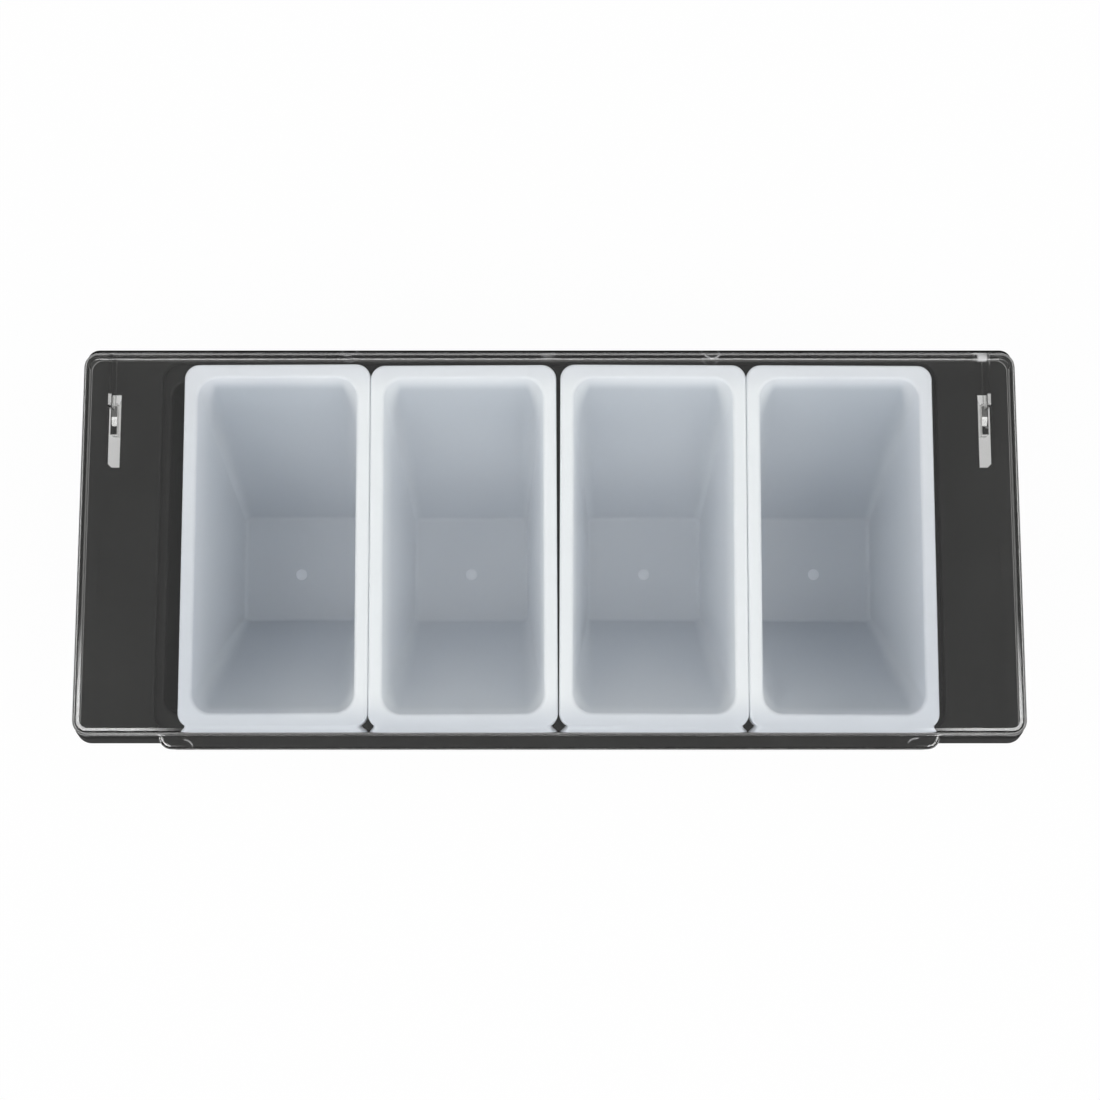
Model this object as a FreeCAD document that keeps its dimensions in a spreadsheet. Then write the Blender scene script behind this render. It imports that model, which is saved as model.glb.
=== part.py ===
"""Condiment holder: a black tub with a deck and two wings, four white inserts and a clear hinged lid.

The frame is +X to the right, +Y to the back and +Z up. The origin is on the table, under the middle of
the lid's rectangle. All sizes are in millimetres and all angles in degrees.
"""
import FreeCAD, Part
import math
import os
import Sketcher

# Sizes that can each be set by themselves.
SIZES = {
    # one insert
    "insert_width": 76.2,
    "insert_length": 148.7,
    "insert_depth": 83.0,
    "insert_wall": 1.8,
    "insert_corner": 6.0,
    "insert_floor_width": 50.6,
    "insert_floor_length": 46.4,
    "insert_floor_corner": 3.0,
    "insert_floor_round": 2.0,
    "insert_base_round": 1.5,
    "least_corner": 0.5,
    "rim_height": 6.5,
    "rim_land": 5.5,
    "rim_round": 1.0,
    "mouth_corner": 8.0,
    "mouth_round": 1.5,
    # how the inserts stand in the rebate
    "touch_gap": 0.1,
    "middle_gap": 1.1,
    "end_play": 12.7,
    "seat_play": 0.95,
    "group_shift": 3.6,
    "slip_1": 0.1,
    "slip_2": 0.4,
    "slip_3": 0.2,
    "slip_4": 0.5,
    "pair_turn": 0.27,
    "floor_clearance": 1.5,
    # the base
    "rebate_depth": 2.6,
    "rebate_corner": 7.0,
    "rebate_round": 1.0,
    "end_ledge": 3.5,
    "side_ledge": 6.5,
    "opening_corner": 7.0,
    "opening_round": 1.2,
    "tub_wall": 2.5,
    "tub_floor": 2.5,
    "tub_taper": 4.0,
    "tub_floor_round": 4.0,
    "foot_height": 1.5,
    "foot_width": 6.0,
    "foot_round": 2.5,
    "wing_length": 30.6,
    "deck_thickness": 2.5,
    "deck_margin": 0.6,
    "deck_side_margin": 1.2,
    "back_border": 3.4,
    "deck_corner": 4.8,
    "deck_round": 1.5,
    "skirt_height": 10.0,
    "skirt_wall": 2.2,
    "skirt_flare": 1.8,
    "bulge_step": 0.2,
    # the lid
    "lid_panel": 2.5,
    "lid_wall": 1.5,
    "lid_corner": 6.0,
    "lid_round": 3.6,
    "lid_inner_round": 0.4,
    "lid_headroom": 5.9,
    "lid_clearance": 0.3,
    "lid_margin": 1.1,
    "lip_width": 314.2,
    "lip_reach": 5.2,
    "lip_thickness": 2.4,
    "lip_corner": 5.4,
    "lip_round": 2.0,
    # the hinge arms, the ribs that carry them, and their slots
    "arm_inset": 11.7,
    "arm_thickness": 2.6,
    "arm_inner_radius": 20.4,
    "arm_outer_radius": 33.2,
    "arm_rise": 3.4,
    "rib_inset": 11.2,
    "rib_thickness": 1.3,
    "rib_corner": 0.3,
    "rib_lift": 1.0,
    "rib_overlap": 2.5,
    "toe_catch": 4.1,
    "toe_thickness": 2.2,
    "toe_clearance": 0.3,
    "slot_inner_play": 0.7,
    "slot_outer_play": 2.1,
    "slot_back_room": 5.1,
    "slot_front_room": 12.9,
    "slot_corner_cut": 2.0,
}

# Sizes and places that follow from them, in the order in which they are worked out.
PLACES = {
    "rebate_half_width": "(4 * insert_width + 2 * touch_gap + middle_gap + end_play) / 2",
    "rebate_half_depth": "insert_length / 2 + seat_play",
    "opening_half_width": "rebate_half_width - end_ledge",
    "opening_half_depth": "rebate_half_depth - side_ledge",
    "tub_floor_top": "foot_height + tub_floor",
    "insert_base": "tub_floor_top + floor_clearance",
    "insert_floor": "insert_base + insert_wall",
    "rim_top": "insert_floor + insert_depth",
    "ledge_top": "rim_top - rim_height",
    "deck_top": "ledge_top + rebate_depth",
    "deck_underside": "deck_top - deck_thickness",
    "skirt_foot": "deck_top - skirt_height",
    "skirt_angle": "atan(skirt_flare / skirt_height)",
    "mouth_half_width": "insert_width / 2 - rim_land",
    "mouth_half_length": "insert_length / 2 - rim_land",
    "side_slope": "(mouth_half_width - insert_floor_width / 2) / insert_depth",
    "end_slope": "(mouth_half_length - insert_floor_length / 2) / insert_depth",
    "side_skin": "insert_wall * sqrt(1 + side_slope ^ 2)",
    "end_skin": "insert_wall * sqrt(1 + end_slope ^ 2)",
    "bowl_top_half_width": "mouth_half_width + side_skin",
    "bowl_top_half_length": "mouth_half_length + end_skin",
    "bowl_base_half_width": "insert_floor_width / 2 + side_skin - side_slope * insert_wall",
    "bowl_base_half_length": "insert_floor_length / 2 + end_skin - end_slope * insert_wall",
    "lid_half_width": "rebate_half_width + wing_length",
    "lid_half_depth": "rebate_half_depth + lid_margin + lid_wall",
    "lid_base": "deck_top + lid_clearance",
    "lid_top": "rim_top + lid_headroom + lid_panel",
    "lid_underside": "lid_top - lid_panel",
    "deck_half_width": "lid_half_width + deck_side_margin",
    "deck_front": "-(lid_half_depth + deck_margin)",
    "deck_back": "lid_half_depth + back_border",
    "bulge_half_width": "lip_width / 2 - bulge_step",
    "bulge_front": "-(lid_half_depth + lip_reach - bulge_step)",
    "hinge_y": "lid_half_depth",
    "hinge_z": "lid_base",
    "arm_x": "lid_half_width - arm_inset",
    "rib_x": "lid_half_width - rib_inset",
    "rib_front": "hinge_y - arm_inner_radius - rib_overlap",
    "rib_back": "hinge_y - lid_wall / 2",
    "rib_foot": "hinge_z + rib_lift",
    "rib_top": "lid_underside + lid_panel / 2",
    "toe_face": "lid_clearance + deck_thickness + toe_clearance",
    "toe_back_face": "toe_face + toe_thickness",
    "toe_reach": "arm_outer_radius + slot_front_room + toe_catch",
    "slot_inner": "arm_x - arm_thickness / 2 - slot_inner_play",
    "slot_outer": "arm_x + arm_thickness / 2 + slot_outer_play",
    "slot_back": "hinge_y - arm_inner_radius + slot_back_room",
    "slot_front": "hinge_y - arm_outer_radius - slot_front_room",
    "left_pair_x": "group_shift - middle_gap / 2",
    "right_pair_x": "group_shift + middle_gap / 2",
    "outer_step": "1.5 * insert_width + touch_gap",
    "inner_step": "0.5 * insert_width",
}

# Where each insert stands: its middle in X, its middle in Y and its turn about Z.
INSERTS = {
    "insert_1": ("sizes.left_pair_x - sizes.outer_step", "-sizes.slip_1", "sizes.pair_turn * 1 deg"),
    "insert_2": ("sizes.left_pair_x - sizes.inner_step", "-sizes.slip_2", "sizes.pair_turn * 1 deg"),
    "insert_3": ("sizes.right_pair_x + sizes.inner_step", "-sizes.slip_3", "-sizes.pair_turn * 1 deg"),
    "insert_4": ("sizes.right_pair_x + sizes.outer_step", "-sizes.slip_4", "-sizes.pair_turn * 1 deg"),
}

# How near an edge has to lie to a place to count as being there.
NEAR = 0.001


def add_sheet(doc):
    """Write every size and place into the document's spreadsheet, each under its own name."""
    sheet = doc.addObject("Spreadsheet::Sheet", "sizes")
    rows = [(name, str(value)) for name, value in SIZES.items()]
    rows += [(name, "=" + formula) for name, formula in PLACES.items()]
    for row, (name, content) in enumerate(rows, start=1):
        sheet.set(f"A{row}", name)
        sheet.set(f"B{row}", content)
        sheet.setAlias(f"B{row}", name)
    doc.recompute()


def number(thing, expression):
    """Work out an expression on the sheet as a plain number."""
    result = thing.evalExpression(expression)
    return float(getattr(result, "Value", result))


def centred(half_width, half_depth, corner):
    """Give the bounds of a rounded rectangle about the origin: left, right, front, back and corner."""
    return (f"-({half_width})", half_width, f"-({half_depth})", half_depth, corner)


def inset(bounds, amount):
    """Move each side of a rounded rectangle inwards by an amount, and its corners with them."""
    left, right, front, back, corner = bounds
    corner = f"max({corner} - {amount}; sizes.least_corner)"
    return (f"{left} + {amount}", f"{right} - {amount}", f"{front} + {amount}", f"{back} - {amount}", corner)


def new_sketch(body, name, role, offsets):
    """Make a sketch on one of the body's own origin planes, moved by an expression along each axis."""
    sketch = body.newObject("Sketcher::SketchObject", name)
    plane = next(item for item in body.Origin.OriginFeatures if item.Role == role)
    sketch.AttachmentSupport = (plane, [""])
    sketch.MapMode = "FlatFace"
    for axis, expression in offsets.items():
        sketch.setExpression(f"AttachmentOffset.Base.{axis}", expression)
    return sketch


def dimension(sketch, name, expression, kind, *places):
    """Add a dimension to a sketch and bind it to the sheet."""
    index = sketch.addConstraint(Sketcher.Constraint(kind, *places, number(sketch, expression)))
    sketch.renameConstraint(index, name)
    sketch.setExpression(f"Constraints.{name}", expression)


def rounded_rectangle(body, name, height, bounds):
    """Draw a rounded rectangle at a height, as four lines and four tangent quarter circles."""
    sketch = new_sketch(body, name, "XY_Plane", {"z": height})
    left, right, front, back, corner = (number(sketch, bound) for bound in bounds)
    up = FreeCAD.Vector(0, 0, 1)
    centres = [(right - corner, front + corner), (right - corner, back - corner),
               (left + corner, back - corner), (left + corner, front + corner)]
    for quarter, (x, y) in enumerate(centres):
        before = centres[quarter - 1]
        turn = (quarter - 1) * math.pi / 2
        out = FreeCAD.Vector(math.cos(turn), math.sin(turn), 0) * corner
        start = FreeCAD.Vector(before[0], before[1], 0) + out
        sketch.addGeometry(Part.LineSegment(start, FreeCAD.Vector(x, y, 0) + out))
        circle = Part.Circle(FreeCAD.Vector(x, y, 0), up, corner)
        sketch.addGeometry(Part.ArcOfCircle(circle, turn, turn + math.pi / 2))
    for index in range(8):
        sketch.addConstraint(Sketcher.Constraint("Tangent", index, 2, (index + 1) % 8, 1))
    for index in (0, 4):
        sketch.addConstraint(Sketcher.Constraint("Horizontal", index))
    for index in (2, 6):
        sketch.addConstraint(Sketcher.Constraint("Vertical", index))
    for index in (3, 5, 7):
        sketch.addConstraint(Sketcher.Constraint("Equal", 1, index))
    dimension(sketch, "corner", bounds[4], "Radius", 1)
    dimension(sketch, "left", bounds[0], "DistanceX", -1, 1, 6, 1)
    dimension(sketch, "right", bounds[1], "DistanceX", -1, 1, 2, 1)
    dimension(sketch, "front", bounds[2], "DistanceY", -1, 1, 0, 1)
    dimension(sketch, "back", bounds[3], "DistanceY", -1, 1, 4, 1)
    return sketch


def extrusion(body, kind, name, sketch, length, upwards, taper=None):
    """Pad or pocket a sketch up or down, with walls that lean outwards by the taper."""
    feature = body.newObject(f"PartDesign::{kind}", name)
    feature.Profile = sketch
    feature.setExpression("Length", length)
    feature.Reversed = upwards == (kind == "Pocket")
    if taper is not None:
        feature.setExpression("TaperAngle", taper)
    return feature


def loft(body, kind, name, lower, upper):
    """Join two outlines with straight walls, as an added or a removed solid."""
    feature = body.newObject(f"PartDesign::{kind}Loft", name)
    feature.Profile = lower
    feature.Sections = [upper]
    feature.Ruled = True
    return feature


def mirrored(body, name, original):
    """Repeat a feature on the other side of the middle plane."""
    feature = body.newObject("PartDesign::Mirrored", name)
    plane = next(item for item in body.Origin.OriginFeatures if item.Role == "YZ_Plane")
    feature.Originals = [original]
    feature.MirrorPlane = (plane, [""])
    body.Tip = feature
    return feature


def off_outline(point, bounds):
    """How far a point lies from the outline of a rounded rectangle that is given in numbers."""
    left, right, front, back, corner = bounds
    across = abs(point.x - (left + right) / 2) - (right - left) / 2 + corner
    along = abs(point.y - (front + back) / 2) - (back - front) / 2 + corner
    return abs(math.hypot(max(across, 0), max(along, 0)) + min(max(across, along), 0) - corner)


def outline_edges(body, height, bounds):
    """Name the edges of the body's last feature that lie on a rounded rectangle at a height."""
    body.Document.recompute()
    level = number(body, height)
    numbers = [number(body, bound) for bound in bounds]
    names = []
    for index, edge in enumerate(body.Tip.Shape.Edges, start=1):
        box = edge.BoundBox
        middle = edge.valueAt((edge.FirstParameter + edge.LastParameter) / 2)
        flat = abs(box.ZMin - level) < NEAR and abs(box.ZMax - level) < NEAR
        if flat and off_outline(middle, numbers) < NEAR:
            names.append(f"Edge{index}")
    return names


def round_edges(body, name, edges, radius):
    """Round the named edges of the body's last feature."""
    base = body.Tip
    feature = body.newObject("PartDesign::Fillet", name)
    feature.Base = (base, edges)
    feature.setExpression("Radius", radius)
    return feature


def round_outline(body, name, height, bounds, radius):
    """Round the edges that lie on a rounded rectangle at a height."""
    return round_edges(body, name, outline_edges(body, height, bounds), radius)


def make_flange(body):
    """The deck as a shallow upturned tray: its plate, its flared skirt and the bulge under the lip."""
    deck = ("-sizes.deck_half_width", "sizes.deck_half_width", "sizes.deck_front", "sizes.deck_back",
            "sizes.deck_corner")
    bulge = ("-sizes.bulge_half_width", "sizes.bulge_half_width", "sizes.bulge_front",
             "sizes.opening_half_depth", "sizes.lip_corner - sizes.bulge_step")
    hollow = "sizes.skirt_height - sizes.deck_thickness"
    blocks = (("deck", deck, "sizes.skirt_angle"), ("bulge", bulge, None))
    for name, bounds, flare in blocks:
        outline = rounded_rectangle(body, f"{name}_outline", "sizes.deck_top", bounds)
        extrusion(body, "Pad", f"{name}_block", outline, "sizes.skirt_height", False, flare)
    rim = outline_edges(body, "sizes.deck_top", deck) + outline_edges(body, "sizes.deck_top", bulge)
    round_edges(body, "deck_round", rim, "sizes.deck_round")
    for name, bounds, flare in blocks:
        inner = inset(bounds, "sizes.skirt_wall")
        outline = rounded_rectangle(body, f"{name}_inner_outline", "sizes.deck_underside", inner)
        extrusion(body, "Pocket", f"{name}_hollow", outline, hollow, False, flare)


def make_tub(body):
    """The pan of the rebate, the tapered tub below it, and the rebate, opening and foot cut out of them."""
    rebate = centred("sizes.rebate_half_width", "sizes.rebate_half_depth", "sizes.rebate_corner")
    opening = centred("sizes.opening_half_width", "sizes.opening_half_depth", "sizes.opening_corner")
    pan = inset(rebate, "-sizes.tub_wall")
    tub = inset(opening, "-sizes.tub_wall")
    tub_foot = inset(tub, "sizes.tub_taper")
    floor = inset(opening, "sizes.tub_taper")

    pan_outline = rounded_rectangle(body, "pan_outline", "sizes.ledge_top - sizes.deck_thickness", pan)
    extrusion(body, "Pad", "pan", pan_outline, "sizes.rebate_depth + sizes.deck_thickness / 2", True)
    lower = rounded_rectangle(body, "tub_foot_outline", "0", tub_foot)
    upper = rounded_rectangle(body, "tub_outline", "sizes.ledge_top - sizes.deck_thickness / 2", tub)
    loft(body, "Additive", "tub", lower, upper)
    round_outline(body, "foot_round", "0", tub_foot, "sizes.foot_round")

    rebate_outline = rounded_rectangle(body, "rebate_outline", "sizes.deck_top", rebate)
    extrusion(body, "Pocket", "rebate", rebate_outline, "sizes.rebate_depth", False)
    round_outline(body, "rebate_round", "sizes.deck_top", rebate, "sizes.rebate_round")
    lower = rounded_rectangle(body, "tub_floor_outline", "sizes.tub_floor_top", floor)
    upper = rounded_rectangle(body, "opening_outline", "sizes.ledge_top", opening)
    loft(body, "Subtractive", "tub_inside", lower, upper)
    round_outline(body, "opening_round", "sizes.ledge_top", opening, "sizes.opening_round")
    round_outline(body, "tub_floor_round", "sizes.tub_floor_top", floor, "sizes.tub_floor_round")

    foot = inset(tub_foot, "sizes.foot_width")
    foot_outline = rounded_rectangle(body, "foot_inner_outline", "0", foot)
    extrusion(body, "Pocket", "foot_recess", foot_outline, "sizes.foot_height", True)


def make_slots(body):
    """One slot through each wing for a hinge arm, with its outer front corner cut off."""
    sketch = new_sketch(body, "slot_outline", "XY_Plane", {"z": "sizes.deck_top"})
    inner = "sizes.slot_inner"
    outer = "sizes.slot_outer"
    points = [(inner, "sizes.slot_front"), (f"{outer} - sizes.slot_corner_cut", "sizes.slot_front"),
              (outer, "sizes.slot_front + sizes.slot_corner_cut"), (outer, "sizes.slot_back"),
              (inner, "sizes.slot_back")]
    places = [FreeCAD.Vector(number(sketch, x), number(sketch, y), 0) for x, y in points]
    for index, place in enumerate(places):
        sketch.addGeometry(Part.LineSegment(place, places[(index + 1) % len(places)]))
    for index, (x, y) in enumerate(points):
        sketch.addConstraint(Sketcher.Constraint("Coincident", index, 2, (index + 1) % len(points), 1))
        dimension(sketch, f"across_{index}", x, "DistanceX", -1, 1, index, 1)
        dimension(sketch, f"along_{index}", y, "DistanceY", -1, 1, index, 1)
    slot = extrusion(body, "Pocket", "right_slot", sketch, "sizes.deck_thickness * 2", False)
    mirrored(body, "left_slot", slot)


def make_base(doc):
    """The black moulding that holds everything."""
    body = doc.addObject("PartDesign::Body", "Base")
    body.Label = "base"
    make_flange(body)
    make_tub(body)
    make_slots(body)
    return body


def make_insert(doc, label, across, along, turn):
    """One white insert: a bowl with sloping walls and a rim that is turned down all round."""
    body = doc.addObject("PartDesign::Body", label.title().replace("_", ""))
    body.Label = label
    rim = centred("sizes.insert_width / 2", "sizes.insert_length / 2", "sizes.insert_corner")
    mouth = centred("sizes.mouth_half_width", "sizes.mouth_half_length", "sizes.mouth_corner")
    floor = centred("sizes.insert_floor_width / 2", "sizes.insert_floor_length / 2",
                    "sizes.insert_floor_corner")
    bowl_top = centred("sizes.bowl_top_half_width", "sizes.bowl_top_half_length",
                       "sizes.mouth_corner + sizes.insert_wall")
    bowl_base = centred("sizes.bowl_base_half_width", "sizes.bowl_base_half_length",
                        "sizes.insert_floor_corner + sizes.insert_wall")

    outline = rounded_rectangle(body, "rim_outline", "sizes.rim_top", rim)
    extrusion(body, "Pad", "rim", outline, "sizes.rim_height", False)
    round_outline(body, "rim_round", "sizes.rim_top", rim, "sizes.rim_round")
    inner = rounded_rectangle(body, "rim_inner_outline", "sizes.ledge_top", inset(rim, "sizes.insert_wall"))
    extrusion(body, "Pocket", "rim_hollow", inner, "sizes.rim_height - sizes.insert_wall", True)

    lower = rounded_rectangle(body, "bowl_base_outline", "sizes.insert_base", bowl_base)
    upper = rounded_rectangle(body, "bowl_top_outline", "sizes.rim_top", bowl_top)
    loft(body, "Additive", "bowl", lower, upper)
    round_outline(body, "base_round", "sizes.insert_base", bowl_base, "sizes.insert_base_round")
    lower = rounded_rectangle(body, "floor_outline", "sizes.insert_floor", floor)
    upper = rounded_rectangle(body, "mouth_outline", "sizes.rim_top", mouth)
    loft(body, "Subtractive", "inside", lower, upper)
    round_outline(body, "mouth_round", "sizes.rim_top", mouth, "sizes.mouth_round")
    round_outline(body, "floor_round", "sizes.insert_floor", floor, "sizes.insert_floor_round")

    body.setExpression("Placement.Base.x", across)
    body.setExpression("Placement.Base.y", along)
    body.setExpression("Placement.Rotation.Angle", turn)
    return body


def make_shell(body):
    """The lid's panel and skirt, with the finger lip along the middle of its front edge."""
    shell = centred("sizes.lid_half_width", "sizes.lid_half_depth", "sizes.lid_corner")
    lip = ("-sizes.lip_width / 2", "sizes.lip_width / 2", "-(sizes.lid_half_depth + sizes.lip_reach)",
           "0", "sizes.lip_corner")
    inside = inset(shell, "sizes.lid_wall")
    outline = rounded_rectangle(body, "shell_outline", "sizes.lid_base", shell)
    extrusion(body, "Pad", "shell", outline, "sizes.lid_top - sizes.lid_base", True)
    round_outline(body, "shell_round", "sizes.lid_top", shell, "sizes.lid_round")
    outline = rounded_rectangle(body, "lip_outline", "sizes.lid_base", lip)
    extrusion(body, "Pad", "lip", outline, "sizes.lip_thickness", True)
    round_outline(body, "lip_round", "sizes.lid_base + sizes.lip_thickness", lip, "sizes.lip_round")
    outline = rounded_rectangle(body, "inside_outline", "sizes.lid_base", inside)
    extrusion(body, "Pocket", "inside", outline, "sizes.lid_underside - sizes.lid_base", True)
    round_outline(body, "inner_round", "sizes.lid_underside", inside, "sizes.lid_inner_round")


def arm_sketch(body):
    """The side view of a hinge arm, drawn about the hinge axis.

    Two arcs about the axis make the curved arm. The toe at its lower end is longer than the room in front
    of the arm in its slot, so it catches under the deck when the lid stands open.
    """
    sketch = new_sketch(body, "arm_outline", "YZ_Plane",
                        {"x": "sizes.hinge_y", "y": "sizes.hinge_z", "z": "sizes.arm_x"})
    outer = number(sketch, "sizes.arm_outer_radius")
    inner = number(sketch, "sizes.arm_inner_radius")
    rise = number(sketch, "sizes.arm_rise")
    toe_face = number(sketch, "sizes.toe_face")
    toe_back_face = number(sketch, "sizes.toe_back_face")
    toe_foot = -number(sketch, "sizes.toe_reach")

    def on_circle(radius, x=None, y=None):
        """The point of a circle in front of the axis at a height, or below the axis at a reach."""
        if x is None:
            return FreeCAD.Vector(-math.sqrt(radius ** 2 - y ** 2), y, 0)
        return FreeCAD.Vector(x, -math.sqrt(radius ** 2 - x ** 2), 0)

    def arc(radius, start, end):
        """An arc about the axis from one point to another, turning to the left."""
        circle = Part.Circle(FreeCAD.Vector(0, 0, 0), FreeCAD.Vector(0, 0, 1), radius)
        return Part.ArcOfCircle(circle, circle.parameter(start), circle.parameter(end))

    front_top = on_circle(outer, y=rise)
    back_top = on_circle(inner, y=rise)
    front_foot = on_circle(outer, x=toe_face)
    back_foot = on_circle(inner, x=toe_back_face)
    toe = [front_foot, FreeCAD.Vector(toe_face, toe_foot, 0),
           FreeCAD.Vector(toe_back_face, toe_foot, 0), back_foot]
    sketch.addGeometry(arc(outer, front_top, front_foot))
    for start, end in zip(toe, toe[1:]):
        sketch.addGeometry(Part.LineSegment(start, end))
    sketch.addGeometry(arc(inner, back_top, back_foot))
    sketch.addGeometry(Part.LineSegment(back_top, front_top))

    joints = [(0, 2, 1, 1), (1, 2, 2, 1), (2, 2, 3, 1), (3, 2, 4, 2), (4, 1, 5, 1), (5, 2, 0, 1),
              (0, 3, -1, 1), (4, 3, -1, 1)]
    for joint in joints:
        sketch.addConstraint(Sketcher.Constraint("Coincident", *joint))
    for index in (1, 3):
        sketch.addConstraint(Sketcher.Constraint("Vertical", index))
    for index in (2, 5):
        sketch.addConstraint(Sketcher.Constraint("Horizontal", index))
    dimension(sketch, "outer_radius", "sizes.arm_outer_radius", "Radius", 0)
    dimension(sketch, "inner_radius", "sizes.arm_inner_radius", "Radius", 4)
    dimension(sketch, "toe_face", "sizes.toe_face", "DistanceX", -1, 1, 1, 2)
    dimension(sketch, "toe_back_face", "sizes.toe_back_face", "DistanceX", -1, 1, 3, 1)
    dimension(sketch, "toe_reach", "-sizes.toe_reach", "DistanceY", -1, 1, 2, 1)
    dimension(sketch, "rise", "sizes.arm_rise", "DistanceY", -1, 1, 5, 1)
    return sketch


def make_arms(body):
    """A hinge arm near each end, hung from the panel and the back wall by a thin rib."""
    rib = ("sizes.rib_x - sizes.rib_thickness / 2", "sizes.rib_x + sizes.rib_thickness / 2",
           "sizes.rib_front", "sizes.rib_back", "sizes.rib_corner")
    outline = rounded_rectangle(body, "rib_outline", "sizes.rib_foot", rib)
    right_rib = extrusion(body, "Pad", "right_rib", outline, "sizes.rib_top - sizes.rib_foot", True)
    mirrored(body, "left_rib", right_rib)
    right_arm = extrusion(body, "Pad", "right_arm", arm_sketch(body), "sizes.arm_thickness", True)
    right_arm.SideType = "Symmetric"
    mirrored(body, "left_arm", right_arm)


def make_lid(doc):
    """The clear moulding: a shallow tray upside down with two hinge arms."""
    body = doc.addObject("PartDesign::Body", "Lid")
    body.Label = "lid"
    make_shell(body)
    make_arms(body)
    return body


def check(doc, pieces):
    """Stop if any object failed or any piece isn't one sound solid."""
    for thing in doc.Objects:
        if "Invalid" in thing.State or "Error" in thing.State:
            raise RuntimeError(f"{thing.Name} failed: {thing.State}")
    for piece in pieces:
        shape = piece.Shape
        if shape.isNull() or not shape.isValid() or len(shape.Solids) != 1:
            raise RuntimeError(f"{piece.Label} isn't one sound solid")
        print(f"{piece.Label}: {shape.Volume / 1000:.1f} cm3, {len(shape.Faces)} faces, {shape.BoundBox}")


def main():
    doc = FreeCAD.newDocument("condiment_holder")
    add_sheet(doc)
    pieces = [make_base(doc), make_lid(doc)]
    for label, (across, along, turn) in INSERTS.items():
        pieces.append(make_insert(doc, label, across, along, turn))
    doc.recompute()
    check(doc, pieces)
    os.makedirs("parts", exist_ok=True)
    for piece in pieces:
        piece.Shape.exportStep(f"parts/{piece.Label}.step")


main()
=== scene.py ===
# %% [markdown]
# # A condiment holder, dressed for its photograph
# The holder is three kinds of injection moulding: a black base with a tub in it, four white inserts that
# hang side by side in the base, and one clear lid that swings up on two curved arms. Their solids come in
# at their real size, so nothing is resized or moved here. This file gives each moulding its finish, adds
# the moulding marks that are too fine for the solids, and sets up the studio and the camera.

# %% Load the solids
import math

import bpy
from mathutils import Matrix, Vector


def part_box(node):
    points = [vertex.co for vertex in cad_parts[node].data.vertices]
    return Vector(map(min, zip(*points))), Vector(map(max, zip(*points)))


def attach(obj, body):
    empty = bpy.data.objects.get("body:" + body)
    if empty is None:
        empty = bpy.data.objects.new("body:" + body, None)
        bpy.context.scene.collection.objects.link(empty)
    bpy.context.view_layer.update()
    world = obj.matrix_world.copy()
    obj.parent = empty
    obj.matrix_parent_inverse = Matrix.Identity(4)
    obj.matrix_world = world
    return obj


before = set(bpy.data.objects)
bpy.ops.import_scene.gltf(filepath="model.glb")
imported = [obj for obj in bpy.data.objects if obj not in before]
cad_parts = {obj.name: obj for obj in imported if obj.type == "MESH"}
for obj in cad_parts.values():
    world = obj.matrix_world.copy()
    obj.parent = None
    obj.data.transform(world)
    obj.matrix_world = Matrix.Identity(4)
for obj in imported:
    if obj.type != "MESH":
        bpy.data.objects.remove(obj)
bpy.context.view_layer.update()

# %% [markdown]
# ## Arithmetic for materials
# A material is a graph of nodes, and its sums are easier to read as sums than as boxes and lines. One small
# class holds an output of the graph. Python's operators on it add Math nodes, and its `node` method adds any
# other node. The other way is to make every node and link by hand, which takes five lines for each sum.

# %% A value in a node tree
class Wire:
    """One output of a node tree, which takes part in sums."""

    def __init__(self, tree, socket=None):
        self.tree = tree
        self.socket = socket

    def node(self, kind, settings=None, sockets=None, output=0):
        """Add a node. Its settings are made first, then each socket gets its value or its wire."""
        made = self.tree.nodes.new("ShaderNode" + kind)
        for name, value in (settings or {}).items():
            setattr(made, name, value)
        for name, value in (sockets or {}).items():
            if isinstance(value, Wire):
                self.tree.links.new(value.socket, made.inputs[name])
            else:
                made.inputs[name].default_value = value
        return Wire(self.tree, made.outputs[output])

    def maths(self, operation, other, turned=False):
        """Add a Math node for this value and another one, with the two the other way round when turned."""
        first, second = (other, self) if turned else (self, other)
        return self.node("Math", {"operation": operation}, {0: first, 1: second})

    def __add__(self, other):
        return self.maths("ADD", other)

    def __sub__(self, other):
        return self.maths("SUBTRACT", other)

    def __mul__(self, other):
        return self.maths("MULTIPLY", other)

    def __radd__(self, other):
        return self.maths("ADD", other, True)

    def __rsub__(self, other):
        return self.maths("SUBTRACT", other, True)

    def __rmul__(self, other):
        return self.maths("MULTIPLY", other, True)

    def size(self):
        """The value without its sign."""
        return self.maths("ABSOLUTE", 0.0)

    def ease(self, start, end):
        """Rise smoothly from 0 to 1 while this value goes from start to end."""
        sockets = {"Value": self, "From Min": start, "From Max": end}
        return self.node("MapRange", {"interpolation_type": "SMOOTHSTEP"}, sockets)

    def blend(self, low, high):
        """Mix two colours by this value."""
        return self.node("Mix", {"data_type": "RGBA"}, {0: self, 6: low, 7: high}, 2)

    def parts(self, axes):
        """The named parts of a vector, one wire each."""
        return [self.node("SeparateXYZ", None, {0: self}, axis) for axis in axes]


print("a wire knows", [name for name in vars(Wire) if not name.startswith("_")])

# %% [markdown]
# ## A material and its starting point
# Every finish here is a Principled shader, whose fixed properties are set on its own sockets. What varies
# over a surface comes from patterns on Object coordinates. Those are metres in the part's own frame, so a
# pattern has its real size, needs no unwrapping, and stays on the piece when the lid swings.

# %% Start a material
def new_material(name, **fixed):
    """Make a material and give back its shader and the places on the surface in metres."""
    material = bpy.data.materials.new(name)
    material.use_nodes = True
    tree = material.node_tree
    shader = tree.nodes["Principled BSDF"]
    for socket, value in fixed.items():
        shader.inputs[socket.replace("_", " ")].default_value = value
    place = Wire(tree).node("TexCoord", output="Object")
    return material, shader, place


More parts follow.
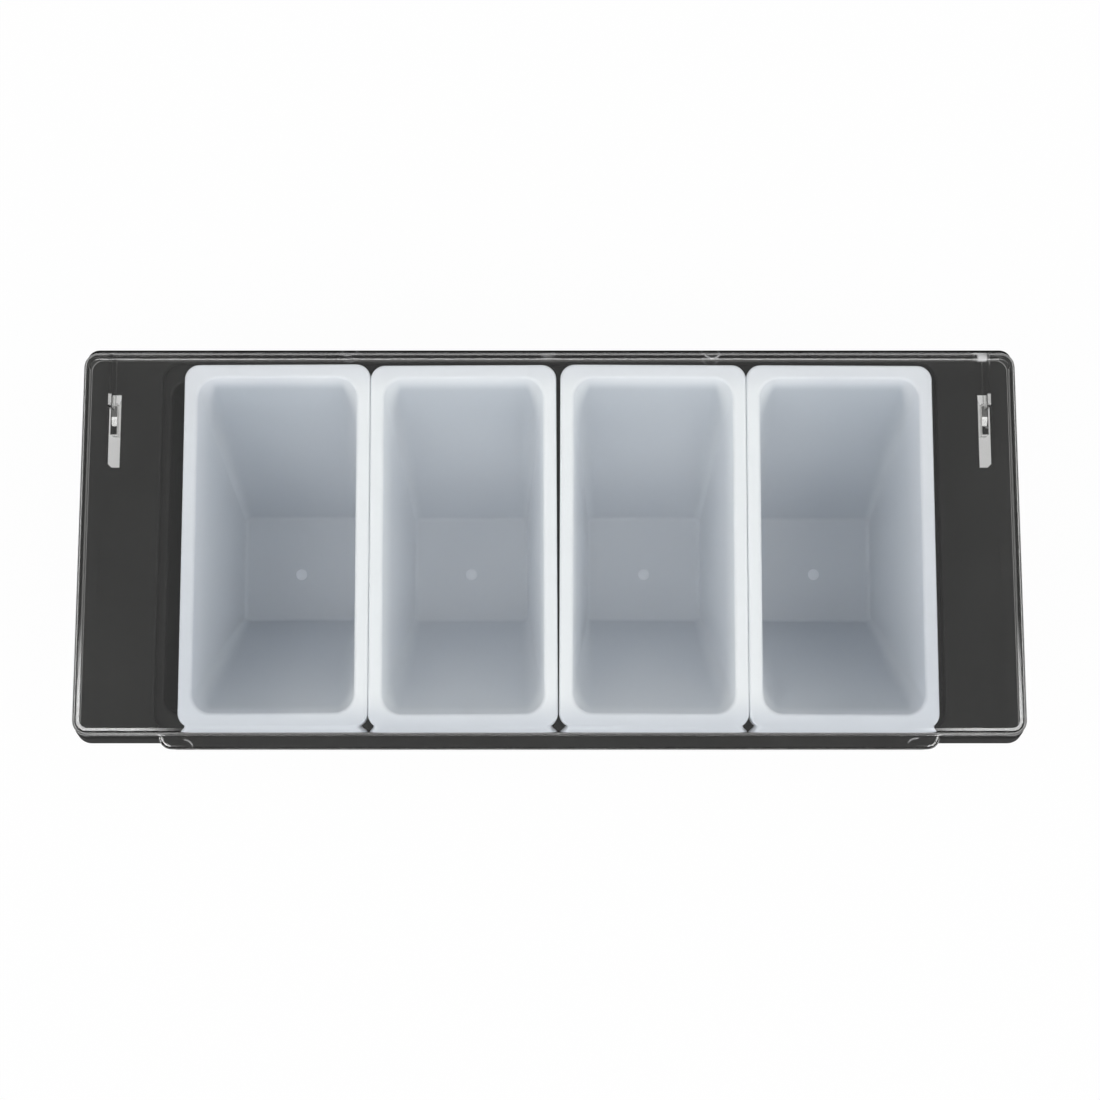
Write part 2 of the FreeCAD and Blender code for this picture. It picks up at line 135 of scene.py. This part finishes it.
def feed(shader, socket, wire):
    """Let a wire drive one of the shader's sockets."""
    wire.tree.links.new(wire.socket, shader.inputs[socket])


def cloud(place, size, detail=1.0):
    """Soft noise from 0 to 1 whose patches are about as large as the size in metres."""
    return place.node("TexNoise", None, {"Vector": place, "Scale": 1 / size, "Detail": detail})


def bumps(height, strength, depth):
    """The normals of a skin whose height varies by the depth in metres."""
    return height.node("Bump", None, {"Strength": strength, "Distance": depth, "Height": height})


MM = 0.001

# %% [markdown]
# ## Moulding marks
# Injection moulding leaves witness marks. Ejector pins press thin rings into the plastic, two of them at the
# back edge and one near each end of the finger lip, and the lid's gate leaves a dull spot at its back. They
# are a few hundredths of a millimetre deep, so they are drawn into the materials. Of the lip rings only the
# arcs that catch the light are drawn, which is a painted highlight. A mark is a mask made of distances in
# the plan, which follows any upward surface under it and fades where the surface turns upright.
# The other way is to model every ring and sink it into its solid, for lines that are thinner than the
# solid's own triangles.

# %% Masks for marks
BACK_RINGS = [(-82.7 * MM, 79.4 * MM, 3.3 * MM), (66.4 * MM, 78.9 * MM, 3.9 * MM)]
LIP_RINGS = [(-146.6 * MM, -83.0 * MM, 3.7 * MM), (147.7 * MM, -83.6 * MM, 5.0 * MM)]
# Painted highlight: the lip rings are drawn only on the arcs round these points, where they catch the light.
LIP_LIT_ARCS = [(-144.4 * MM, -79.9 * MM), (145.8 * MM, -78.9 * MM)]
LIP_LIT_ARC_REACH = (1.6 * MM, 2.8 * MM)
RING_WIDTH = 0.45 * MM
RING_CORE = 0.3 * RING_WIDTH
UPWARD = (0.15, 0.45)
LID_GATE = (-0.6 * MM, 78.6 * MM)
LID_GATE_REACH = (2.2 * MM, 4.6 * MM)


def distance(place, centre_across, centre_back):
    """How far each place is from a point in the plan."""
    across, back = place.parts("XY")
    aside = across - centre_across
    behind = back - centre_back
    return (aside * aside + behind * behind).maths("SQRT", 0.0)


def facing_parts(place, axes):
    """The named parts of the direction that a surface faces."""
    return place.node("TexCoord", output="Normal").parts(axes)


def upward(place, reach=UPWARD):
    """1 where a surface faces up and 0 where it is upright or faces down."""
    [up] = facing_parts(place, "Z")
    return up.ease(*reach)


def ring_marks(place, rings):
    """1 on thin rings and 0 elsewhere."""
    mask = None
    for centre_across, centre_back, radius in rings:
        off = (distance(place, centre_across, centre_back) - radius).size()
        ring = 1 - off.ease(RING_CORE, RING_WIDTH)
        mask = ring if mask is None else mask.maths("MAXIMUM", ring)
    return mask


print("the marks are", len(BACK_RINGS + LIP_RINGS), "rings and one gate spot")

# %% [markdown]
# ## The black moulding
# The base is black polypropylene. It is never quite even: the skin takes the mould's satin finish, with
# large patches a little shinier where the plastic froze first, and a fine grain that breaks up reflections.
# A flat black would look like a hole, so the grain goes into the normal and the patches into the roughness.
# The upright faces have a coarser mould finish, so they are dull where a smooth skirt would mirror the floor.

# %% Black plastic
BLACK = (0.0055, 0.0055, 0.0052, 1.0)
BLACK_WORN = (0.0085, 0.0085, 0.0080, 1.0)
RING_GREY = (0.090, 0.090, 0.095, 1.0)
UPRIGHT = (0.5, 0.97)
BLACK_SHINE = 0.21
BLACK_ROUGHNESS = 0.30
# A pattern is given as its size and what it adds to the roughness, in this cell and in the next ones.
BLACK_PATCHES = (60 * MM, 0.07)
BLACK_GRAIN = (0.5 * MM, 0.06)
GRAIN_DEPTH = 0.1 * MM
UPRIGHT_ROUGHNESS = 0.45


def black_plastic():
    """Satin black with a fine moulded grain and faint patches."""
    material, shader, place = new_material("satin_black", IOR=1.49, Specular_IOR_Level=BLACK_SHINE)
    patch_size, patch_roughness = BLACK_PATCHES
    grain_size, grain_roughness = BLACK_GRAIN
    patches = cloud(place, patch_size).ease(0.35, 0.65)
    grain = cloud(place, grain_size, 2.0)
    upright = 1 - upward(place, UPRIGHT)
    rings = ring_marks(place, BACK_RINGS) * upward(place)
    feed(shader, "Base Color", rings.blend(patches.blend(BLACK, BLACK_WORN), RING_GREY))
    roughness = BLACK_ROUGHNESS + patch_roughness * patches + grain_roughness * grain
    feed(shader, "Roughness", roughness + UPRIGHT_ROUGHNESS * upright)
    feed(shader, "Normal", bumps(grain, 0.10, GRAIN_DEPTH))
    return material


satin_black = black_plastic()
print("made", satin_black.name, "with", len(satin_black.node_tree.nodes), "nodes")

# %% [markdown]
# ## The white moulding
# The inserts are thin white polypropylene with a waxy shine. The rim is doubled and stands in the light, so
# it looks white. The bowl below it hangs in a black tub, and thin translucent white over black turns to a
# pale grey-blue; the bowl's grey is partly that real colour and partly painted shade of the deep pocket.
# Painted shade makes it deepest at both ends of the row, where no neighbour shines through the wall. Painted
# light keeps the side walls white further down, where light comes through them from the next insert, and
# painted shade makes the back walls the greyest. Painted light makes the rims between two inserts the
# whitest, and painted shade makes the rims in front a little greyer. So the colour changes with the height,
# with the way a wall faces, and with the place in the row, and most of that change is painted light and
# shade. The other way is real subsurface scattering, but that makes the walls noisy under the clear lid.

# %% White plastic
RIM_WHITE = (0.730, 0.762, 0.815, 1.0)
# Painted shade: the greyer rim colour towards the front.
RIM_FRONT_SHADE = (0.650, 0.690, 0.755, 1.0)
RIM_SHADE_SHIFT = (-70 * MM, 75 * MM)
# Painted light: the whiter rim colour between two inserts.
RIM_SHARED_LIGHT = (0.860, 0.895, 0.930, 1.0)
SHARED_LIGHT_ACROSS = (95 * MM, 115 * MM)
SHARED_LIGHT_BACK = (60 * MM, 74 * MM)
# The bowl colours hold the real grey of thin white over black and painted shade of the deep pocket.
BOWL_GREY_AND_SHADE = (0.665, 0.705, 0.760, 1.0)
BOWL_CLOUDY_AND_SHADE = (0.650, 0.692, 0.750, 1.0)
# Painted shade: the greyer bowl colour at both ends of the row.
BOWL_END_SHADE = (0.520, 0.565, 0.625, 1.0)
# Painted light: the paler colour of the side walls.
BOWL_SIDE_LIGHT = (0.800, 0.830, 0.870, 1.0)
# Painted shade: the greyer colour of the back walls.
BOWL_BACK_SHADE = (0.400, 0.445, 0.505, 1.0)
SIDE_LIGHT_SHARE = 0.35
BACK_SHADE_SHARE = 0.55
BACK_SHADE_RISE = (40 * MM, 85 * MM)
BOWL_TOP = 90 * MM
WALL_FADE = 7 * MM
SIDE_LIGHT_FADE = 25 * MM
FACING_WALL = (0.1, 1.0)
ROW_END_SHADE = (80 * MM, 130 * MM)
WHITE_ROUGHNESS = 0.28
FLOW_MARKS = (40 * MM, 0.02)
SKIN_SIZE = 1.2 * MM
SKIN_DEPTH = 0.2 * MM


def white_plastic():
    """Waxy white that turns grey-blue in the bowl, with faint flow marks, painted light and painted shade."""
    material, shader, place = new_material("waxy_white", IOR=1.50)
    flow_size, flow_roughness = FLOW_MARKS
    patches = cloud(place, flow_size).ease(0.3, 0.7)
    across, back, height = place.parts("XYZ")
    # Painted shade: the bowls turn greyer towards both ends of the row.
    end_shade = across.size().ease(*ROW_END_SHADE)
    bowl = end_shade.blend(patches.blend(BOWL_GREY_AND_SHADE, BOWL_CLOUDY_AND_SHADE), BOWL_END_SHADE)
    sideways, backward = facing_parts(place, "XY")
    lit_side_wall = sideways.size().ease(*FACING_WALL)
    shaded_back_wall = (0 - backward).ease(*FACING_WALL)
    # Painted light: the side walls are paler, as if lit through from the next insert.
    bowl = (SIDE_LIGHT_SHARE * lit_side_wall).blend(bowl, BOWL_SIDE_LIGHT)
    # Painted shade: the back walls turn greyer towards their tops.
    bowl = (BACK_SHADE_SHARE * shaded_back_wall * height.ease(*BACK_SHADE_RISE)).blend(bowl, BOWL_BACK_SHADE)
    # Painted shade: the rims turn a little greyer towards the front.
    rim = (0 - back).ease(*RIM_SHADE_SHIFT).blend(RIM_WHITE, RIM_FRONT_SHADE)
    # Painted light: the rims between two inserts are made the whitest.
    shared_light = (1 - across.size().ease(*SHARED_LIGHT_ACROSS)) * (1 - back.size().ease(*SHARED_LIGHT_BACK))
    rim = shared_light.blend(rim, RIM_SHARED_LIGHT)
    # Painted light: the side walls keep the rim's white further down.
    fade = WALL_FADE + (SIDE_LIGHT_FADE - WALL_FADE) * lit_side_wall
    # The bowl is greyer than the rim partly as thin white over black and partly as painted shade of the
    # pocket.
    feed(shader, "Base Color", height.ease(BOWL_TOP - fade, BOWL_TOP).blend(bowl, rim))
    feed(shader, "Roughness", WHITE_ROUGHNESS + flow_roughness * patches)
    feed(shader, "Normal", bumps(cloud(place, SKIN_SIZE), 0.05, SKIN_DEPTH))
    return material


waxy_white = white_plastic()
print("made", waxy_white.name, "with", len(waxy_white.node_tree.nodes), "nodes")

# %% [markdown]
# ## The clear moulding
# The lid is clear polycarbonate. A Principled shader with full transmission bends light as the real plastic
# does, and that alone draws the bright lines along the rounded edges. But light from a lamp can't find its
# way through bent glass by direct sampling, so everything under the lid would be noisy. For shadow rays
# only, the lid is plainly see-through, which is the usual way to light what stands behind glass.

# %% Clear plastic
CLEAR = (0.985, 0.985, 0.975, 1.0)
CLEAR_FOR_LAMPS = (0.93, 0.93, 0.925, 1.0)
DULL_WHITE = (0.75, 0.75, 0.76, 1.0)
BACK_RING_DULL = 0.28
LIP_RING_DULL = 0.16
GATE_DULL = 0.10
ARM_ROOT = (174.0 * MM, 178.8 * MM)
ARM_ROOT_EDGE = 1 * MM
ARM_ROOT_BACK = (73.6 * MM, 74.4 * MM)
ARM_ROOT_DULL = 0.55
CLEAR_ROUGHNESS = 0.012
HAZE = (3 * MM, 0.012)
WAVE_SIZE = 30 * MM
WAVE_DEPTH = 0.2 * MM


def dull_marks(place):
    """How dull the lid is: at its rings, at its gate and in a strip at the right arm's root; the lip rings
    keep only their arcs that catch the light, a painted highlight.
    """
    across, back = place.parts("XY")
    gate = GATE_DULL * (1 - distance(place, *LID_GATE).ease(*LID_GATE_REACH))
    left, right = ARM_ROOT
    root = across.ease(left, left + ARM_ROOT_EDGE) * (1 - across.ease(right - ARM_ROOT_EDGE, right))
    root = ARM_ROOT_DULL * root * back.ease(*ARM_ROOT_BACK)
    # Painted highlight: only the arcs of the lip rings that catch the light are kept.
    left_lit_arc, right_lit_arc = (1 - distance(place, *middle).ease(*LIP_LIT_ARC_REACH) for middle in LIP_LIT_ARCS)
    lit_arcs = ring_marks(place, LIP_RINGS) * left_lit_arc.maths("MAXIMUM", right_lit_arc)
    rings = BACK_RING_DULL * ring_marks(place, BACK_RINGS)
    return (rings + LIP_RING_DULL * lit_arcs + gate + root) * upward(place)


def clear_plastic():
    """Clear plastic with a faint haze, moulding marks and a slightly wavy skin."""
    material, shader, place = new_material("clear_shell", Base_Color=CLEAR, IOR=1.58, Transmission_Weight=1.0)
    tree = material.node_tree
    haze_size, haze_roughness = HAZE
    haze = cloud(place, haze_size).ease(0.45, 0.75)
    feed(shader, "Roughness", CLEAR_ROUGHNESS + haze_roughness * haze)
    feed(shader, "Normal", bumps(cloud(place, WAVE_SIZE, 0.0), 0.02, WAVE_DEPTH))
    shadow = place.node("LightPath", output="Is Shadow Ray")
    see_through = place.node("BsdfTransparent", None, {"Color": CLEAR_FOR_LAMPS})
    dull = place.node("BsdfDiffuse", None, {"Color": DULL_WHITE})
    marked = place.node("MixShader", None, {0: dull_marks(place), 1: Wire(tree, shader.outputs[0]), 2: dull})
    both = place.node("MixShader", None, {0: shadow, 1: marked, 2: see_through})
    tree.links.new(both.socket, tree.nodes["Material Output"].inputs["Surface"])
    return material


clear_shell = clear_plastic()
print("made", clear_shell.name, "with", len(clear_shell.node_tree.nodes), "nodes")

# %% [markdown]
# ## Dress the solids
# The shapes of all six solids are right as they come, so they keep them and only change their material.

# %% Give each solid its material
INSERTS = ["insert_1", "insert_2", "insert_3", "insert_4"]
FINISHES = {"base": satin_black, "lid": clear_shell} | {name: waxy_white for name in INSERTS}

for name, finish in FINISHES.items():
    for material_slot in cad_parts[name].material_slots:
        material_slot.material = finish
print("dressed", ", ".join(FINISHES))

# %% [markdown]
# ## Gate pips
# The plastic for each insert came in through the middle of its floor and left a low round pip, paler than the
# floor because the plastic is strained there. A pip is a short cylinder whose edges are rounded by a small
# bevel. One function makes it, and it runs once for each insert. A ray sent down from the opening finds the
# floor, so the pip stands on it whatever the insert's depth. The other way is to draw the pip into the white
# as the ring marks are, but it stands up from the floor far enough to catch the light.

# %% Pips
PIP_INNER = (0.84, 0.87, 0.92, 1.0)
# Painted shade: the greyer pip colour at both ends of the row.
PIP_END_SHADE = (0.73, 0.77, 0.84, 1.0)
PIP_PALE = (0.70, 0.74, 0.81, 1.0)
PIP_CLOUDS = 0.5
PIP_RADIUS = 2.5 * MM
PIP_RISE = 0.35 * MM
PIP_BACK = -2.6 * MM


def pip_plastic():
    """Strained white plastic with a cloudy skin, and painted shade that greys it towards both ends of the
    row.
    """
    material, shader, place = new_material("strained_white", IOR=1.50)
    [across] = place.parts("X")
    # Painted shade: the pips turn greyer towards both ends of the row.
    end_shade = across.size().ease(*ROW_END_SHADE)
    white = end_shade.blend(PIP_INNER, PIP_END_SHADE)
    feed(shader, "Base Color", (PIP_CLOUDS * cloud(place, 1.5 * MM)).blend(white, PIP_PALE))
    feed(shader, "Roughness", 0.35 + 0.10 * cloud(place, 1.0 * MM))
    return material


def floor_place(name):
    """The middle of an insert's floor, found from above."""
    low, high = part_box(name)
    start = ((low[0] + high[0]) / 2, PIP_BACK, high[2])
    found, place, facing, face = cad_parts[name].ray_cast(start, (0, 0, -1))
    return place


def pip(name, place, finish):
    """A low round pip whose lower half is sunk into the floor."""
    bpy.ops.object.select_all(action="DESELECT")
    bpy.ops.mesh.primitive_cylinder_add(vertices=40, radius=PIP_RADIUS, depth=2 * PIP_RISE, location=place)
    made = bpy.context.object
    made.name = name
    bpy.ops.object.mode_set(mode="EDIT")
    bpy.ops.mesh.select_all(action="SELECT")
    bpy.ops.mesh.bevel(offset=0.4 * PIP_RISE, segments=2, affect="EDGES")
    bpy.ops.object.mode_set(mode="OBJECT")
    bpy.ops.object.transform_apply(location=True, rotation=False, scale=False)
    bpy.ops.object.shade_smooth_by_angle(angle=math.radians(30))
    made.data.materials.append(finish)
    return made


strained_white = pip_plastic()
for name in INSERTS:
    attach(pip("pip_" + name, floor_place(name), strained_white), "base")
print("one pip on the floor of each insert, at", [round(x, 4) for x in floor_place("insert_1")])

# %% [markdown]
# ## The studio floor
# The photograph was taken on a white sweep that came out as pure white. The floor gets that white from its
# own glow for the camera, for reflections and for what is seen through the lid, and not from more light.
# A share of it stays ordinary paint, and that share still shows the holder's soft shadow. Right under the
# holder reflections and the clear lid see more of the paint, because the sweep there is in the shade.

# %% Floor
FLOOR_SIDE = 6.0
FLOOR_GLOW = 0.97
FLOOR_PAINT = (0.85, 0.85, 0.85, 1.0)
SHADED_GLOW = 0.15
SHADE_REACH = (0.30, 0.60)
SHADE_SQUEEZE = 0.25


def background_rays(place):
    """The glow's share for the camera, and for what is reflected or seen through the lid."""
    seen = place.node("LightPath", output="Is Camera Ray")
    reflected = place.node("LightPath", output="Is Glossy Ray")
    through = place.node("LightPath", output="Is Transmission Ray")
    across, back = place.parts("XY")
    reach = (SHADE_SQUEEZE * across * across + back * back).maths("SQRT", 0.0)
    open_floor = reach.ease(*SHADE_REACH)
    indirect = (SHADED_GLOW + (FLOOR_GLOW - SHADED_GLOW) * open_floor) * reflected.maths("MAXIMUM", through)
    return (FLOOR_GLOW * seen).maths("MAXIMUM", indirect)


def white_floor():
    """White paint that glows for the background rays."""
    material, shader, place = new_material("white_sweep", Base_Color=FLOOR_PAINT, Roughness=0.7)
    tree = material.node_tree
    glow = place.node("Emission", None, {"Color": (1, 1, 1, 1), "Strength": 1.0})
    share = background_rays(place)
    both = place.node("MixShader", None, {0: share, 1: Wire(tree, shader.outputs[0]), 2: glow})
    tree.links.new(both.socket, tree.nodes["Material Output"].inputs["Surface"])
    material.cycles.emission_sampling = "NONE"
    return material


bpy.ops.object.select_all(action="DESELECT")
bpy.ops.mesh.primitive_plane_add(size=FLOOR_SIDE)
floor = bpy.context.object
floor.name = "floor"
floor.data.materials.append(white_floor())
print("the floor is", FLOOR_SIDE, "metres wide")

# %% [markdown]
# ## The surround
# The light comes from a tent, and every part of the tent shows somewhere on the holder. The flat lid mirrors
# its dim top, so the deck stays dark. A bright ring round that top lights the rims, and low walls at both
# sides light the inside of the inserts. The wall behind is dark, because the front walls of the inserts,
# which face it, are no brighter than their floors. Shaping the world by direction gives all of that without
# a lamp, and a direction's upward share Z tells how near it is to the vertical.

# %% World
WHITE_LIGHT = (1, 1, 1, 1)
TENT_LEVEL = 0.12
RING_LEVEL = 2.30
SIDE_LEVEL = 1.85
CEILING_LEVEL = 0.20
RING_FOOT = (0.70, 0.78)
RING_TOP = (0.90, 0.93)
BACK_EDGE = (0.0, 0.40)
SIDE_EDGE = (0.35, 0.60)

world = bpy.data.worlds.new("studio")
bpy.context.scene.world = world
world.use_nodes = True
surround = Wire(world.node_tree).node("TexCoord", output="Generated")
across, back, up = surround.parts("XYZ")
reflected = surround.node("LightPath", output="Is Reflection Ray")
glossy = surround.node("LightPath", output="Is Glossy Ray")
mirrored = reflected * glossy
ahead = 1 - back.ease(*BACK_EDGE)
ceiling = up.ease(*RING_TOP)
low = 1 - up.ease(*RING_FOOT)
ring = RING_LEVEL * (1 - low) * (1 - ceiling)
sides = SIDE_LEVEL * low * across.size().ease(*SIDE_EDGE)
level = TENT_LEVEL + (ring + sides) * ahead * (1 - mirrored) + CEILING_LEVEL * ceiling

# %% [markdown]
# ## Glints
# The lid's rounded edges show thin bright lines: round both front corners, and along the back. They are
# reflections of small strong lamps. Such lamps would be far too strong for the rims, so they are put in as
# cards that only a reflection sees, which is what product photographers do with a strip of white card.
# Light that wanders lengthwise through the clear edges is mostly soaked up by the plastic, which a surface
# shader can't do, so light that has passed more than four clear faces is dimmed here.

# %% Cards for reflections
GLINT_LEVEL = 11.0
GLINT_HEIGHT = (0.45, 0.60)
FRONT_GLINT_END = (0.05, 0.10)
FRONT_GLINT_SIDE = (0.19, 0.22)
FRONT_GLINT_MIDDLE = 0.03
FRONT_GLINT_RIGHT = 0.9
BACK_GLINT = 0.55
BACK_GLINT_START = (0.25, 0.29)
BACK_GLINT_HEIGHT = (0.84, 0.88)
LONG_WAY = (4.5, 5.5)
SOAKED_UP = 0.85

to_the_right = across.ease(-0.1, 0.1)
ends = across.size().ease(*FRONT_GLINT_SIDE) * (1 - (1 - FRONT_GLINT_RIGHT) * to_the_right)
in_front = up.ease(*GLINT_HEIGHT) * (1 - back.ease(*FRONT_GLINT_END))
front_card = in_front * (FRONT_GLINT_MIDDLE + (1 - FRONT_GLINT_MIDDLE) * ends)
back_card = BACK_GLINT * up.ease(*BACK_GLINT_HEIGHT) * back.ease(*BACK_GLINT_START)
level = level + GLINT_LEVEL * (front_card + back_card) * (1 - ceiling) * mirrored
passes = surround.node("LightPath", output="Transmission Depth")
level = level * (1 - SOAKED_UP * passes.ease(*LONG_WAY))
camera_ray = surround.node("LightPath", output="Is Camera Ray")
background = world.node_tree.nodes["Background"]
background.inputs["Color"].default_value = WHITE_LIGHT
feed(background, "Strength", level + camera_ray * (1 - level))
print("the ring gives", RING_LEVEL, "the side walls", SIDE_LEVEL, "and the ceiling", CEILING_LEVEL)

# %% [markdown]
# ## The camera
# The photograph looks almost straight down from a little in front of the holder. The place and the lens were
# worked out from where the lid's edges, the inserts' rims and their floors fall in the picture.

# %% Camera
CAMERA_PLACE = (0.0002, -0.10555, 0.8383)
CAMERA_TILT = 7.83
CAMERA_LENS = 60.9

camera_data = bpy.data.cameras.new("camera")
camera_data.lens = CAMERA_LENS
camera = bpy.data.objects.new("camera", camera_data)
camera.location = CAMERA_PLACE
camera.rotation_euler = (math.radians(CAMERA_TILT), 0, 0)
bpy.context.scene.collection.objects.link(camera)
bpy.context.scene.camera = camera
bpy.context.scene.view_settings.view_transform = "Standard"
print("the camera is", CAMERA_PLACE[2], "metres up and tilted", CAMERA_TILT, "degrees")

# %% [markdown]
